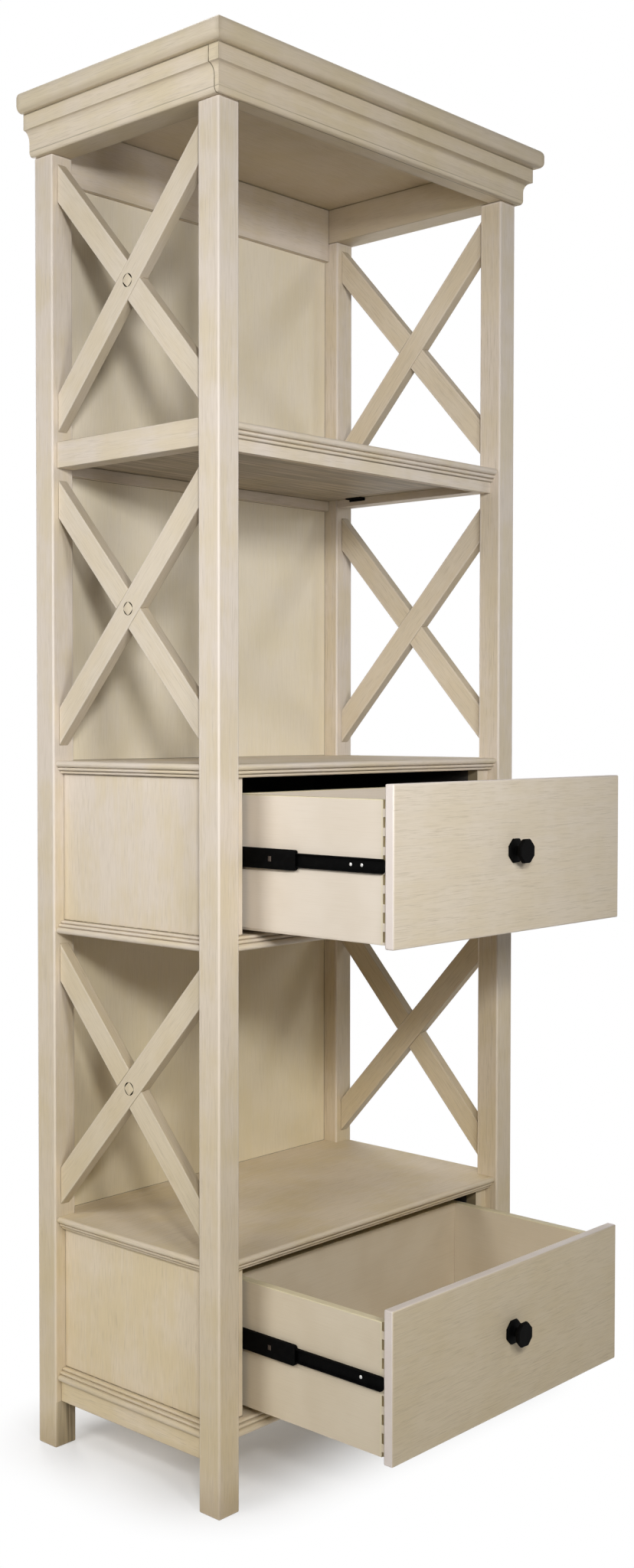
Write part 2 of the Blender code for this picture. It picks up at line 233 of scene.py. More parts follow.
def paint(name, box, grain, turn=0.0, lines=(), strokes=0.5, pool=0.2, joint=0.6, worn=0.0, dusk=0.0,
          creams=(CREAM_YELLOW, CREAM_PINK)):
    """Brushed cream paint with a brown glaze, for one board.

    The box and the grain's axis are those of the board after a turn about X. A line is an axis and a place on it
    where a dark band is drawn, with a width and a strength: glaze in a groove or seam, and at the back feet painted
    shade. The other numbers say how strong the strokes are, how much glaze gathers near the edges and right at
    them, how pale the corners are painted as rubbed paint and a painted highlight, and how much darker the whole
    face is made.
    """
    material, shader, place = new_material(name)
    turned = place
    if turn:
        turned = place.node("ShaderNodeVectorRotate", {"rotation_type": "X_AXIS"}, {"Vector": place, "Angle": turn})
    own = turned.vector("ADD", own_offset(name))
    fine = own.noise(along(grain, STROKE_LENGTH, STROKE_WIDTH), 2.0, 0.6)
    streaks = own.noise(along(grain, STREAK_LENGTH, STREAK_WIDTH), 2.0)
    clouds = own.noise((1 / CLOUD_SIZE,) * 3, 3.0, 0.55)
    height = place.part(Z)
    edge = edge_distance(turned, *box)
    ragged = edge + (streaks - 0.5) * RAGGED_BY_STREAKS + (fine - 0.5) * RAGGED_BY_STROKES

    colour = (clouds * 0.7 + streaks * 0.3).rise(*CREAM_TURNS).mix(*creams)
    brushed = fine.rise(*STROKE_SHOWS) * streaks.rise(*STREAK_SHOWS, 0.35, 1.0)
    glaze = (brushed * strokes).most(ragged.rise(0.0, POOL_REACH, pool, 0.0))
    if dusk:
        glaze = glaze * (1.0 - dusk) + dusk
    colour = glaze.mix(colour, STROKE_GLAZE)
    # Paler corners: partly rubbed paint, partly a painted highlight on the rounded edge.
    if worn:
        rubbed = edge + (fine - 0.5) * PALE_EDGE_RAGGED
        colour = rubbed.rise(PALE_EDGE_FULL, PALE_EDGE_REACH, worn, 0.0).mix(colour, PALE_EDGE_AND_HIGHLIGHT)
    dark = edge.rise(JOINT_FULL, JOINT_REACH, joint, 0.0)
    uneven = streaks.rise(*GROOVE_SHOWS, 0.45, 1.0)
    # Glaze lines in grooves and seams; at the back feet the same kind of line is painted shade.
    for axis, line, width, strength in lines:
        dark = dark.most((place.part(axis) - line).size().rise(0.2 * width, width, strength, 0.0) * uneven)
    colour = dark.mix(colour, GLAZE_AND_SHADE_LINE)
    # The paint is darker and more olive towards the bottom, and darker still at the foot.
    lower_tint = height.rise(0.0, FOOT_HIGH, 0.0, 1.0).mix(FOOT, LOWER_TINT)
    colour = height.rise(TINT_LOW, TINT_HIGH, 1.0, 0.0).mix(colour, lower_tint, "MULTIPLY")
    shader.inputs["Specular IOR Level"].default_value = 0.3
    feed(shader, place, Base_Color=colour, Roughness=fine.rise(0.3, 0.7, *SATIN),
         Normal=(fine * -1.0).bump(BRUSH_RELIEF))
    return material


print("paint recipe ready")

# %% [markdown]
# ## Boards with eased edges
# No maker leaves a painted edge knife-sharp: it is sanded round before the paint goes on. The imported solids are
# loose triangles, so a copy is merged and its flat faces are joined again before a bevel runs along the edges.
# Narrow faces are shaded smooth and broad ones flat, which keeps the boards flat and the mouldings round.

# %% Helpers for boards
MERGE_DISTANCE, FLAT = 0.01 * MM, math.radians(0.5)
SHARP, CREASE = math.radians(30), math.radians(50)


def box_of(bm, turn=0.0):
    """Lowest and highest corner of a mesh after a turn about X."""
    turned = [Matrix.Rotation(turn, 3, "X") @ vert.co for vert in bm.verts]
    return tuple(tuple(pick(p[axis] for p in turned) for axis in range(3)) for pick in (min, max))


def cad_copy(node):
    """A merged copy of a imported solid, with each flat side as one face."""
    bm = bmesh.new()
    bm.from_mesh(frame["nodes"][node].data)
    bmesh.ops.remove_doubles(bm, verts=bm.verts, dist=MERGE_DISTANCE)
    bmesh.ops.dissolve_limit(bm, angle_limit=FLAT, verts=bm.verts, edges=bm.edges)
    return bm


def cut(bm, place, normal, away=False):
    """Cut a mesh along a plane; away takes off what the normal points at and closes the end."""
    bmesh.ops.bisect_plane(bm, geom=bm.verts[:] + bm.edges[:] + bm.faces[:], plane_co=place, plane_no=normal,
                           clear_outer=away)
    if away:
        bmesh.ops.holes_fill(bm, edges=[edge for edge in bm.edges if edge.is_boundary])


def pull(bm, faces, by):
    """Pull faces out along a vector. The old faces stay where they were."""
    grown = bmesh.ops.extrude_face_region(bm, geom=faces)["geom"]
    bmesh.ops.translate(bm, verts=[item for item in grown if isinstance(item, bmesh.types.BMVert)], vec=by)


def ease(bm, width):
    """Round every sharp edge."""
    sharp = [edge for edge in bm.edges if edge.is_manifold and edge.calc_face_angle() > SHARP]
    bmesh.ops.bevel(bm, geom=sharp, offset=width, offset_type="OFFSET", affect="EDGES", segments=2,
                    profile=0.5, material=-1, clamp_overlap=True)


def soften(bm, narrow=6 * MM):
    """Shade narrow faces smooth and keep a crease at sharp edges."""
    for face in bm.faces:
        face.smooth = min(edge.calc_length() for edge in face.edges) < narrow
    for edge in bm.edges:
        edge.smooth = edge.is_manifold and edge.calc_face_angle() < CREASE


def piece(name, bm, materials, body, stands_for=()):
    """Make an object of the mesh and let it ride on a body."""
    soften(bm)
    mesh = bpy.data.meshes.new(name)
    bm.to_mesh(mesh)
    bm.free()
    for material in materials:
        mesh.materials.append(material)
    made = bpy.data.objects.new(name, mesh)
    bpy.context.scene.collection.objects.link(made)
    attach(made, body)
    if stands_for:
        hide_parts(*stands_for)


def dressed(node, bm, *materials):
    """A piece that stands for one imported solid."""
    piece("painted_" + node, bm, materials, body_of[node], (node,))


print("board helpers ready")

# %% [markdown]
# ## Posts
# Four square posts run from the floor to the crown. Their corners are painted paler than the faces, partly as
# rubbed paint and partly as a painted highlight on the rounded corner. The paint is darker towards the foot, and
# the grain stands upright. Faces that look into the rooms get a darker finish. The front of each back foot gets
# painted shade, darkest at its inner edge, for the shade under the cabinet. The posts are cut at the height where
# the aprons end: the back feet get their own finish there, and the cut also keeps the shading of the rounded ends
# from running up the long corners.

# %% Posts
INNER_DARKER = {"strokes": 0.8, "dusk": 0.12}
POST_WEAR_AND_HIGHLIGHT = {"pool": 0.0, "joint": 0.0, "worn": 0.55}
# The back feet's painted shade: how far it reaches in from the inner edge, and how dark it is.
FOOT_SHADE, FOOT_DARK, FOOT_WEAR_AND_HIGHLIGHT = 46 * MM, 0.90, {"pool": 0.0, "joint": 0.0, "worn": 0.3}
foot_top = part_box("apron_left")[0].z
for end in ("front", "back"):
    for side, sign in SIDES:
        node = f"post_{end}_{side}"
        bm = cad_copy(node)
        box = box_of(bm)
        cut(bm, (0, 0, foot_top), (0, 0, 1))
        finishes = [paint(node, box, Z, **POST_WEAR_AND_HIGHLIGHT), paint(node + "_inner", box, Z, **POST_WEAR_AND_HIGHLIGHT, **INNER_DARKER)]
        if end == "back":
            # Painted shade on the front of each back foot, darkest at its inner edge.
            under = ((X, sign * abs(front_post[1].x), FOOT_SHADE, FOOT_DARK),)
            finishes.append(paint(node + "_foot", box, Z, lines=under, **FOOT_WEAR_AND_HIGHLIGHT, **INNER_DARKER))
        for face in bm.faces:
            face.material_index = int(face.normal.x * sign < -0.5)
            if end == "back" and face.normal.y < -0.5 and face.calc_center_median().z < foot_top:
                face.material_index = 2
        dressed(node, bm, *finishes)
print("posts from", round(front_post[0].z, 3), "to", round(front_post[1].z, 3), "m")

# %% [markdown]
# ## Crown and cap
# The crown is a run of moulding: a thin bead, a flat, a cove and a second flat. The glaze sits as a dark line
# over the bead and under the cap. The front length covers the ends of the side lengths, so a seam follows the
# profile near the corner and the grain turns there. A face that looks sideways therefore gets a second finish
# with the grain running front to back. That finish is painted paler than the front, as painted light on the
# sides; the front, the inside and the cap are painted darker than the other boards, as painted shade.


# %% Crown and cap
def turned_grain(bm):
    """Give the faces that look sideways the second finish."""
    for face in bm.faces:
        face.material_index = int(abs(face.normal.x) > max(abs(face.normal.y), 1e-3) and abs(face.normal.z) < 0.97)


crown_foot, crown_top = (corner.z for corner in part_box("crown_front"))
crown_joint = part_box("crown_left")[0].y
BEAD_TOP = 7.0 * MM
BEAD_LINE, CAP_LINE, SEAM_LINE, ROOF_LINE = (0.9 * MM, 0.50), (1.9 * MM, 0.75), (1.2 * MM, 0.95), (2.4 * MM, 0.85)
crown_lines = ((Z, crown_foot + BEAD_TOP, *BEAD_LINE), (Z, crown_top, *CAP_LINE), (Y, crown_joint, *SEAM_LINE))
roof_line = ((Z, crown_top, *ROOF_LINE),)
CROWN_GLAZE, CAP_GLAZE = {"pool": 0.25, "joint": 0.4}, {"pool": 0.4, "joint": 0.2}
# Painted shade: the crown and cap are darker than other boards. Painted light: their sides are paler.
SHADED_CROWN_CREAMS = ((0.610, 0.514, 0.356, 1), (0.640, 0.546, 0.420, 1))
LIT_SIDE_CREAMS = ((0.715, 0.616, 0.445, 1), (0.745, 0.650, 0.520, 1))
for node, grain, outward in (("crown_front", X, (0, -1, 0)), ("crown_left", Y, (-1, 0, 0)),
                             ("crown_right", Y, (1, 0, 0))):
    bm = cad_copy(node)
    box = box_of(bm)
    turned_grain(bm)
    for face in bm.faces:
        if face.normal.dot(outward) < -0.9:
            face.material_index = 2
    dressed(node, bm, paint(node, box, grain, lines=crown_lines, creams=SHADED_CROWN_CREAMS, **CROWN_GLAZE),
            paint(node + "_side", box, Y, lines=crown_lines, creams=LIT_SIDE_CREAMS, **CROWN_GLAZE),
            paint(node + "_inside", box, grain, lines=roof_line, creams=SHADED_CROWN_CREAMS, **CROWN_GLAZE))

cap = cad_copy("cap_board")
cap_box = box_of(cap)
turned_grain(cap)
dressed("cap_board", cap, paint("cap_board", cap_box, X, creams=SHADED_CROWN_CREAMS, **CAP_GLAZE),
        paint("cap_board_side", cap_box, Y, creams=LIT_SIDE_CREAMS, **CAP_GLAZE))
rail = cad_copy("top_rail_back")
ease(rail, 0.8 * MM)
dressed("top_rail_back", rail, paint("top_rail_back", box_of(rail), X, lines=roof_line))
print("crown foot at", round(crown_foot, 3), "m, cap top at", round(cap_box[1][Z], 3), "m")

# %% [markdown]
# ## Reeded boards
# Each drawer unit has a top and a base board whose edge is cut into three reeds. The reeds are in the solids,
# so the finish only adds the glaze lines between them. Base boards carry the reeds upside down.

# %% Reeded boards
REED_SHARES, REED_LINE = (0.245, 0.52), (0.8 * MM, 0.18)
REED_WEAR_AND_HIGHLIGHT = {"pool": 0.0, "joint": 0.0, "worn": 0.3}


def board_lines(box, upside_down):
    """Glaze lines at the heights of the grooves between the reeds."""
    low, high = box[0][Z], box[1][Z]
    return [(Z, high - (high - low) * share if upside_down else low + (high - low) * share, *REED_LINE)
            for share in REED_SHARES]


for level in LEVELS:
    for kind in ("top", "base"):
        node = f"{level}_unit_{kind}"
        bm = cad_copy(node)
        box = box_of(bm)
        turned_grain(bm)
        lines = board_lines(box, kind == "base")
        dressed(node, bm, paint(node, box, X, lines=lines, **REED_WEAR_AND_HIGHLIGHT),
                paint(node + "_side", box, Y, lines=lines, **REED_WEAR_AND_HIGHLIGHT))
        print(node, "grooves at", [round(line[1], 4) for line in lines])

# %% [markdown]
# ## Shelf and its rails
# The shelf has the same reeded edge on its front, with a plain strip below it. Three rails hold it between the
# posts.

# %% Shelf
shelf = cad_copy("shelf")
shelf_box = box_of(shelf)
SHELF_THICK, STRIP_LINE = 20.3 * MM, (0.9 * MM, 0.6)
shelf_edge = ((0, 0, shelf_box[1][Z] - SHELF_THICK), (0, 0, shelf_box[1][Z]))
shelf_lines = board_lines(shelf_edge, False) + [(Z, shelf_edge[0][Z], *STRIP_LINE)]
dressed("shelf", shelf, paint("shelf", shelf_box, X, lines=shelf_lines, pool=0.0, joint=0.2))
for node, grain in (("shelf_rail_back", X), ("shelf_rail_left", Y), ("shelf_rail_right", Y)):
    bm = cad_copy(node)
    ease(bm, 1.0 * MM)
    dressed(node, bm, paint(node, box_of(bm), grain, pool=0.1, joint=0.5))
print("shelf top at", round(shelf_box[1][Z], 3), "m")

# %% [markdown]
# ## The dark inside of the drawer bays
# Behind the drawers the boards aren't painted cream. They get painted shade there: a near-black colour that
# stands for the little light that gets in, and still has the grain of the board.


# %% Painted bay shade
def painted_bay_shade(dark, light, grain_width):
    """Near-black painted shade over grain that runs front to back."""
    material, shader, place = new_material("painted_bay_shade")
    grain = place.noise(along(Y, STREAK_LENGTH, grain_width), 3.0)
    feed(shader, place, Base_Color=grain.rise(0.3, 0.7).mix(dark, light),
         Roughness=grain.rise(0.3, 0.7, 0.6, 0.8), Normal=grain.bump(0.1 * MM))
    return material


BAY_PAINTED_SHADE = painted_bay_shade((0.016, 0.014, 0.012, 1), (0.032, 0.028, 0.024, 1), 2 * MM)
bays = {level: (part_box(f"{level}_unit_base")[1].z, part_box(f"{level}_unit_top")[0].z) for level in LEVELS}
print("bays between", {level: [round(z, 4) for z in span] for level, span in bays.items()})

# %% [markdown]
# ## Side panels and the back
# The side panels of the drawer units are plain boards between the posts, with the grain upright and the glaze
# gathered along their top and bottom edges. The lower ones are a little paler. Their faces inside the bays get
# the painted shade. The back is one large panel. It is cut at the shelf and at the boards, so that each
# compartment has its own lines of glaze and the bays have the painted shade. Its rear is painted in one go.

# %% Side panels
panel_reach = (front_post[1].y, back_post[0].y)
PANEL_CREAMS = {"upper": ((0.690, 0.594, 0.445, 1), (0.727, 0.642, 0.551, 1)),
                "lower": ((0.742, 0.638, 0.477, 1), (0.780, 0.689, 0.590, 1))}
PANEL_FOOT_LINE = (2.6 * MM, 0.85)
for level in LEVELS:
    for side, sign in SIDES:
        node = f"{level}_side_{side}"
        bm = cad_copy(node)
        low, high = box_of(bm)
        box = ((low[X], panel_reach[0], low[Z]), (high[X], panel_reach[1], high[Z]))
        cut(bm, (0, front_post[1].y, 0), (0, 1, 0))
        for face in bm.faces:
            # Faces inside the bay get the painted shade.
            in_bay = face.normal.x * sign < -0.5 and face.calc_center_median().y > front_post[1].y
            face.material_index = int(in_bay)
        ease(bm, 0.6 * MM)
        foot_line = ((Z, bays[level][0], *PANEL_FOOT_LINE),)
        dressed(node, bm, paint(node, box, Z, lines=foot_line, pool=0.12, joint=0.85, creams=PANEL_CREAMS[level]),
                BAY_PAINTED_SHADE)
print("side panels show between Y", [round(y, 4) for y in panel_reach])

# %% Back panel
back = cad_copy("back_panel")
back_low, back_high = box_of(back)
cuts = sorted([z for span in bays.values() for z in span] + [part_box("shelf")[0].z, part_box("shelf")[1].z])
for z in cuts:
    cut(back, (0, 0, z), (0, 0, 1))
UNIT_BOARD, CORNER_LINE = 18 * MM, (1.8 * MM, 0.85)
rooms = ((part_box("lower_unit_top")[1].z, bays["upper"][0] - UNIT_BOARD),
         (bays["upper"][1] + UNIT_BOARD, cuts[-2]), (cuts[-1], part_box("crown_front")[0].z))
BACK_CREAMS = ((0.760, 0.680, 0.515, 1), (0.780, 0.705, 0.570, 1))
back_paints = [BAY_PAINTED_SHADE]
corner_lines = [(X, sign * back_post[1].x, *CORNER_LINE) for sign in (-1, 1)]
for number, (floor_z, roof_z) in enumerate(rooms):
    box = ((back_low[X], back_low[Y], floor_z), (back_high[X], back_high[Y], roof_z))
    back_paints.append(paint(f"back_panel_{number}", box, Z, lines=corner_lines, strokes=0.22, pool=0.0, joint=0.85,
                             creams=BACK_CREAMS))
back_paints.append(paint("back_panel_rear", (back_low, back_high), Z, strokes=0.3, pool=0.15, joint=0.5))
for face in back.faces:
    z = face.calc_center_median().z
    in_bay = any(low < z < high for low, high in bays.values())
    face.material_index = 0 if in_bay else 1 + sum(z > room[0] for room in rooms[1:])
    if face.normal.y > -0.5:
        face.material_index = len(back_paints) - 1
dressed("back_panel", back, *back_paints)
print("back panel cut at", [round(z, 3) for z in cuts])

# %% [markdown]
# ## Crossed braces
# Each side has three crosses. The bars of a cross are halved into each other, and the grain runs along each bar,
# so the finish is turned by the bar's own slope. The slope is read from the bar's longest edge. The narrow sides
# of the bars get a darker finish than the broad ones, and the faces that look into the rooms a slightly darker one.


# %% Braces
def slope_of(bm):
    """Angle about X that stands the longest edge of a bar upright."""
    longest = max(bm.edges, key=lambda edge: edge.calc_length())
    run = longest.verts[1].co - longest.verts[0].co
    run = run if run.z > 0 else -run
    return math.atan2(run.y, run.z)


END_LINE = (1.8 * MM, 0.75)
end_lines = [(Y, y, *END_LINE) for y in panel_reach]
BRACE_CREAMS = (CREAM_YELLOW, (0.690, 0.606, 0.485, 1))
for row in ROWS:
    for side, sign in SIDES:
        for lay in ("inner", "outer"):
            node = f"brace_{row}_{side}_{lay}"
            bm = cad_copy(node)
            slope = slope_of(bm)
            for face in bm.faces:
                inward = face.normal.x * sign < 0
                face.material_index = 1 if abs(face.normal.x) < 0.5 else 2 * int(inward)
            ease(bm, 0.9 * MM)
            box = box_of(bm, slope)
            broad = {"turn": slope, "lines": end_lines, "pool": 0.1, "joint": 0.35, "worn": 0.3,
                     "creams": BRACE_CREAMS}
            dressed(node, bm, paint(node, box, Z, **broad),
                    paint(node + "_edge", box, Z, turn=slope, strokes=0.8, pool=0.0, joint=0.0, dusk=0.55),
                    paint(node + "_inner", box, Z, **broad, **INNER_DARKER))
    print(row, "cross slopes", round(math.degrees(slope), 1), "degrees")

# %% [markdown]
# ## Plugs in the crossings
# A wooden plug covers the screw in the middle of each cross, on the outside. Its hole is round but the plug is a
# little square, so four dark slivers show round it. The shadow in the hole is painted: a thin dark disc on the
# bar. The plug starts as a circle with eight corners: the four on the diagonals are drawn in, by its own amount
# for each pair, and a bevel rounds them all.

# %% Plugs
PLUG_REACH, PLUG_CORNER, PLUG_STANDS, PLUG_RIM = 9.7 * MM, 2.2 * MM, 0.30 * MM, 0.12 * MM
HOLE_RADIUS, HOLE_STANDS = 9.2 * MM, 0.06 * MM
PLUG_WAIST = {"top": (0.71, 0.82), "middle": (0.76, 0.79), "low": (0.79, 0.72)}
STAND_UP = Matrix(((0, 0, 1, 0), (1, 0, 0, 0), (0, 1, 0, 0), (0, 0, 0, 1)))


def hole_shadow(dark, light, mottle_cells):
    """Painted shadow in a hole: nearly black, a little mottled."""
    material, shader, place = new_material("plug_hole_shadow")
    shader.inputs["Specular IOR Level"].default_value = 0.05
    mottle = place.noise((mottle_cells,) * 3, 2.0)
    feed(shader, place, Base_Color=mottle.rise(0.3, 0.7).mix(dark, light), Roughness=mottle.rise(0.3, 0.7, 0.7, 0.9))
    return material


def facing(sign):
    """A piece made for the right side is turned half round for the left."""
    return Matrix.Rotation(0 if sign > 0 else math.pi, 4, "Z")


def disc(radius, segments, thick, rim=0.0, waist=(), corner=0.0):
    """A flat plate in the YZ plane that stands out along +X from zero, round or drawn in at its diagonals."""
    bm = bmesh.new()
    bmesh.ops.create_circle(bm, cap_ends=True, radius=radius, segments=segments)
    for share, slant in zip(waist, (1, -1)):
        bmesh.ops.scale(bm, vec=(share, share, 1),
                        verts=[vert for vert in bm.verts if vert.co.x * vert.co.y * slant > (0.1 * radius) ** 2])
    if corner:
        bmesh.ops.bevel(bm, geom=bm.verts[:], offset=corner, affect="VERTICES", segments=5, profile=0.5, material=-1)
    pull(bm, bm.faces[:], (0, 0, thick))
    bmesh.ops.recalc_face_normals(bm, faces=bm.faces)
    if rim:
        edge = [e for e in bm.edges if all(v.co.z > thick / 2 for v in e.verts)]
        bmesh.ops.bevel(bm, geom=edge, offset=rim, affect="EDGES", segments=2, profile=0.5, material=-1)
    bmesh.ops.transform(bm, verts=bm.verts, matrix=STAND_UP)
    return bm


PLUG_HOLE_SHADOW = hole_shadow((0.006, 0.005, 0.003, 1), (0.022, 0.017, 0.010, 1), 900)
for row in ROWS:
    for side, sign in SIDES:
        bar = f"brace_{row}_{side}_outer"
        low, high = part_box(bar)
        centre = Vector((high.x if sign > 0 else low.x, (low.y + high.y) / 2, (low.z + high.z) / 2))
        face_out = Matrix.Translation(centre) @ facing(sign)
        hole = disc(HOLE_RADIUS, segments=40, thick=HOLE_STANDS)
        bmesh.ops.transform(hole, verts=hole.verts, matrix=face_out)
        piece(f"plug_hole_shadow_{row}_{side}", hole, [PLUG_HOLE_SHADOW], body_of[bar])
        plug = disc(PLUG_REACH, segments=8, thick=PLUG_STANDS, rim=PLUG_RIM, waist=PLUG_WAIST[row],
                    corner=PLUG_CORNER)
        bmesh.ops.transform(plug, verts=plug.verts, matrix=face_out)
        plug_paint = paint(f"plug_{row}_{side}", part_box(bar), Z, pool=0.0, joint=0.0, creams=BRACE_CREAMS)
        piece(f"plug_{row}_{side}", plug, [plug_paint], body_of[bar])
    print(row, "plugs at", [round(c, 3) for c in centre])

# %% [markdown]
# ## Aprons
# A plain strip closes the gap under the lower drawer unit on each side.

# %% Aprons
for side, _ in SIDES:
    node = f"apron_{side}"
    bm = cad_copy(node)
    ease(bm, 0.8 * MM)
    dressed(node, bm, paint(node, box_of(bm), Y, pool=0.2, joint=0.6, creams=PANEL_CREAMS["lower"]))

# %% [markdown]
# ## Drawer boxes and faces
# The boxes are pale boards under a thin clear lacquer, with a faint grain, and a painted highlight along the top
# edges of their sides and back. Dovetails join their sides to the face, and only the slots between the tails
# show; shade is painted into them. To leave those slots, the front end of a side is cut off and the faces of the
# tails are pulled forward again. The faces are painted like the panels, with the grain across. Their edges were
# left paler and get a second finish.

# %% Drawers
HIGHLIGHT_AND_SEAM_YELLOW = (0.720, 0.640, 0.420, 1)
FIBRE_LENGTH, FIBRE_WIDTH, RIM_FULL, RIM_REACH = 60 * MM, 1.0 * MM, 0.5 * MM, 1.6 * MM
SLOT_DEPTH, SLOT_IN, SLOT_LENGTH = 6.0 * MM, 2.5 * MM, 13 * MM
SLOT_FIRST, SLOT_PITCH, SLOT_COUNT = 4.5 * MM, 23.6 * MM, 8
SEAM_BEHIND, NEAR, ABOVE_FOOT = 7.8 * MM, 0.05 * MM, 0.1 * MM


def lacquer(name, grain, pale, warm, rim=None, seam=None):
    """Clear lacquer on pale board, with a painted highlight at the rim's height and a yellow line behind the slots.
    """
    material, shader, place = new_material(name)
    own = place.vector("ADD", own_offset(name))
    fibres = own.noise(along(grain, FIBRE_LENGTH, FIBRE_WIDTH), 2.0)
    clouds = own.noise((1 / CLOUD_SIZE,) * 3, 2.0)
    colour = (fibres.rise(0.4, 0.8) * 0.3 + clouds.rise(0.35, 0.65) * 0.4).mix(pale, warm)
    # At the rim the pale yellow line is a painted highlight on the rounded top edge; behind the slots it is a seam.
    for axis, line, strength in ((Z, rim, 0.8), (Y, seam, 0.6)):
        if line:
            highlight_and_seam_line = (place.part(axis) - line).size().rise(RIM_FULL, RIM_REACH, strength, 0.0)
            colour = highlight_and_seam_line.mix(colour, HIGHLIGHT_AND_SEAM_YELLOW)
    feed(shader, place, Base_Color=colour, Roughness=fibres.rise(0.3, 0.7, 0.42, 0.52),
         Normal=fibres.bump(0.05 * MM))
    return material


def dovetails(bm, sign):
    """Leave shallow slots between the tails at the front end of a drawer side, and paint shade into them."""
    low, high = box_of(bm)
    front, outer = low[Y], (high if sign > 0 else low)[X]
    cut(bm, (0, front + SLOT_DEPTH, 0), (0, -1, 0), True)
    cut(bm, (outer - sign * SLOT_IN, 0, 0), (1, 0, 0))
    middles = [high[Z] - SLOT_FIRST - number * SLOT_PITCH for number in range(SLOT_COUNT)]
    for z in [m + half for m in middles for half in (-SLOT_LENGTH / 2, SLOT_LENGTH / 2)]:
        cut(bm, (0, 0, z), (0, 0, 1))
    tails = []
    for face in (face for face in bm.faces if face.normal.y < -0.9):
        centre = face.calc_center_median()
        between = all(abs(centre.z - m) > SLOT_LENGTH / 2 for m in middles)
        if between or abs(centre.x - outer) > SLOT_IN:
            tails.append(face)
    pull(bm, tails, (0, -SLOT_DEPTH, 0))
    bmesh.ops.delete(bm, geom=tails, context="FACES_ONLY")
    bmesh.ops.recalc_face_normals(bm, faces=bm.faces)
    # The faces inside the slots get the painted shade.
    for face in bm.faces:
        centre = face.calc_center_median()
        inside = NEAR < abs(centre.x - outer) < SLOT_IN + NEAR
        if inside and NEAR < centre.y - front < SLOT_DEPTH + NEAR and centre.z > low[Z] + ABOVE_FOOT:
            face.material_index = 1


BOX_PALE = {"upper": (0.700, 0.622, 0.525, 1), "lower": (0.660, 0.572, 0.432, 1)}
BOX_WARM = {"upper": (0.625, 0.542, 0.435, 1), "lower": (0.575, 0.480, 0.340, 1)}
FACE_CREAMS = ((0.668, 0.582, 0.455, 1), (0.690, 0.610, 0.505, 1))
EDGE_PALE, EDGE_WARM = (0.730, 0.660, 0.610, 1), (0.660, 0.570, 0.500, 1)
# Painted shade for the faces inside the slots between the tails.
SLOT_PAINTED_SHADE = lacquer("slot_stain", Z, (0.38, 0.31, 0.17, 1), (0.27, 0.21, 0.11, 1))
for level in LEVELS:
    for part, grain in (("side_left", Y), ("side_right", Y), ("back", X), ("bottom", X)):
        node = f"{level}_drawer_{part}"
        bm = cad_copy(node)
        seam, painted_slot_shades = None, ()
        if part.startswith("side"):
            seam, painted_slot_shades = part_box(node)[0].y + SEAM_BEHIND, (SLOT_PAINTED_SHADE,)
            dovetails(bm, -1 if part == "side_left" else 1)
        ease(bm, 0.5 * MM)
        # The height of the painted highlight along the top edge.
        rim = None if part == "bottom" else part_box(node)[1].z
        dressed(node, bm, lacquer(node, grain, BOX_PALE[level], BOX_WARM[level], rim, seam), *painted_slot_shades)
    node = f"{level}_drawer_face"
    bm = cad_copy(node)
    for face in bm.faces:
        face.material_index = int(abs(face.normal.y) < 0.5)
    dressed(node, bm, paint(node, box_of(bm), X, strokes=0.6, pool=0.0, joint=0.0, worn=0.25, creams=FACE_CREAMS),
            lacquer(node + "_edge", X, EDGE_PALE, EDGE_WARM))

# %% [markdown]
# ## Black hardware
# Knobs are cast and painted matt black; the slides are pressed steel with a black coat. Both show a fine
# texture and slightly rubbed, lighter patches rather than a pure black. A pressed slide has rounded ends and a
# square window through which its screws are reached. The corners are cut with a few planes that follow an arc,
# because a bevel there is stopped by the narrow lips, and the window is cut out of both sides of the web and
# bridged.

# %% Black coat
RUB_SIZE, RUB_LIGHTER = 9 * MM, 2.2


def black_coat(name, tone, rough, grain_size):
    """Black coat with a fine texture, a little lighter where it is rubbed."""
    material, shader, place = new_material(name)
    speckle = place.noise((1 / grain_size,) * 3, 2.0)
    worn = place.noise((1 / RUB_SIZE,) * 3, 3.0)
    lighter = tuple(channel * RUB_LIGHTER for channel in tone[:3]) + (1,)
    shader.inputs["Specular IOR Level"].default_value = 0.03
    feed(shader, place, Base_Color=worn.rise(0.45, 0.75).mix(tone, lighter),
         Roughness=worn.rise(0.3, 0.7, rough, rough + 0.12), Normal=speckle.bump(0.04 * MM))
    return material


KNOB_BLACK = black_coat("knob_black", (0.0016, 0.0015, 0.0014, 1), 0.55, 0.5 * MM)
SLIDE_BLACK = black_coat("slide_black", (0.0014, 0.0014, 0.0014, 1), 0.55, 0.8 * MM)
print("two black coats ready")

# %% Knobs and slides
SLIDE_CORNER, WINDOW_HALF, WINDOW_BEHIND = 4.0 * MM, 3.5 * MM, 45.5 * MM
CORNER_ANGLES = (18, 36, 54, 72)


def rounded_front(bm, radius):
    """Round the two front corners of a slide member."""
    low, high = box_of(bm)
    for up, level_z in ((-1, low[Z] + radius), (1, high[Z] - radius)):
        for angle in CORNER_ANGLES:
            turn = math.radians(angle)
            normal = Vector((0, -math.cos(turn), up * math.sin(turn)))
            cut(bm, Vector((0, low[Y] + radius, level_z)) + normal * radius, normal, True)


